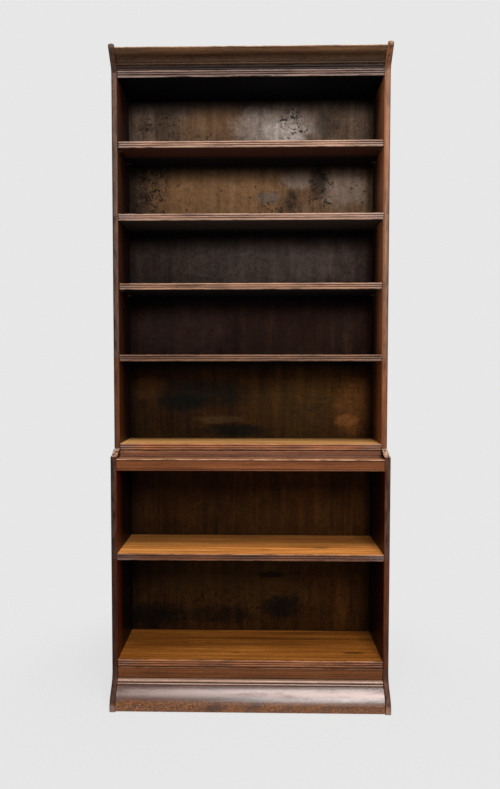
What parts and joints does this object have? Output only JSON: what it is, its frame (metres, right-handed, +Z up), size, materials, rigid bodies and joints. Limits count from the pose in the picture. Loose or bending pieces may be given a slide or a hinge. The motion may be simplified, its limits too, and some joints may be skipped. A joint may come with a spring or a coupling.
{
  "type": "stacking bookcase",
  "caption": "Tall open-fronted stacking oak bookcase: shallow upper and deeper lower sections lift off one another between a toed plinth and a nosed cornice",
  "frame": {"origin": "on the floor under the middle of the whole case: midway between the ends and midway between the plinth's toes and the ends' back edges", "axes": "+Z up; +X to the right seen from the open front; the open front faces -Y"},
  "size_m": [0.914, 0.359, 2.157],
  "materials": {
    "oak_case": "worn dark oak, old wax",
    "oak_board": "dark oak, worn paler at the front edge",
    "oak_back": "dark unpolished oak, dusty",
    "brass_stud": "dull tarnished brass",
    "steel_screw": "dark oxidised steel",
    "pine_block": "raw aged softwood",
    "beech_dowel": "raw beech"
  },
  "bodies": {
    "plinth": {"plinth_back_rail": "pine_block", "plinth_bead_strip": "oak_case", "plinth_dowels": "beech_dowel", "plinth_frieze": "oak_case", "plinth_front_rail": "pine_block", "plinth_glue_blocks": "pine_block", "plinth_left_end": "oak_case", "plinth_right_end": "oak_case", "plinth_torus": "oak_case"},
    "section_5": {"section_5_back": "oak_back", "section_5_back_screws": "steel_screw", "section_5_board": "oak_board", "section_5_dowels": "beech_dowel", "section_5_left_end": "oak_case", "section_5_right_end": "oak_case"},
    "section_4": {"section_4_back": "oak_back", "section_4_back_screws": "steel_screw", "section_4_board": "oak_board", "section_4_dowels": "beech_dowel", "section_4_front_rail": "oak_case", "section_4_glue_blocks": "pine_block", "section_4_ledge": "oak_board", "section_4_left_end": "oak_case", "section_4_right_end": "oak_case", "section_4_riser": "oak_case"},
    "section_3": {"section_3_back": "oak_back", "section_3_back_screws": "steel_screw", "section_3_board": "oak_board", "section_3_dowels": "beech_dowel", "section_3_left_end": "oak_case", "section_3_right_end": "oak_case"},
    "section_2": {"section_2_back": "oak_back", "section_2_back_screws": "steel_screw", "section_2_board": "oak_board", "section_2_dowels": "beech_dowel", "section_2_left_end": "oak_case", "section_2_right_end": "oak_case", "section_2_shelf_studs": "brass_stud"},
    "section_1": {"section_1_back": "oak_back", "section_1_back_screws": "steel_screw", "section_1_board": "oak_board", "section_1_dowels": "beech_dowel", "section_1_left_end": "oak_case", "section_1_right_end": "oak_case", "section_1_shelf_studs": "brass_stud"},
    "cornice": {"cornice_back_rail": "pine_block", "cornice_board": "oak_board", "cornice_frieze": "oak_case", "cornice_glue_blocks": "pine_block", "cornice_left_end": "oak_case", "cornice_moulding": "oak_case", "cornice_right_end": "oak_case", "cornice_top_panel": "pine_block"},
    "loose_shelf_2": {"section_2_shelf": "oak_board"},
    "loose_shelf_1": {"section_1_shelf": "oak_board"}
  },
  "joints": [
    {"name": "section_5_lift", "type": "slide", "parent": "plinth", "child": "section_5", "axis": [0, 0, 1], "range_m": [0, 0.1]},
    {"name": "section_4_lift", "type": "slide", "parent": "section_5", "child": "section_4", "axis": [0, 0, 1], "range_m": [0, 0.1]},
    {"name": "section_3_lift", "type": "slide", "parent": "section_4", "child": "section_3", "axis": [0, 0, 1], "range_m": [0, 0.1]},
    {"name": "section_2_lift", "type": "slide", "parent": "section_3", "child": "section_2", "axis": [0, 0, 1], "range_m": [0, 0.1]},
    {"name": "section_1_lift", "type": "slide", "parent": "section_2", "child": "section_1", "axis": [0, 0, 1], "range_m": [0, 0.1]},
    {"name": "cornice_lift", "type": "slide", "parent": "section_1", "child": "cornice", "axis": [0, 0, 1], "range_m": [0, 0.1]},
    {"name": "loose_shelf_2_slide", "type": "slide", "parent": "section_2", "child": "loose_shelf_2", "axis": [0, -1, 0], "range_m": [0, 0.2]},
    {"name": "loose_shelf_1_slide", "type": "slide", "parent": "section_1", "child": "loose_shelf_1", "axis": [0, -1, 0], "range_m": [0, 0.2]}
  ]
}
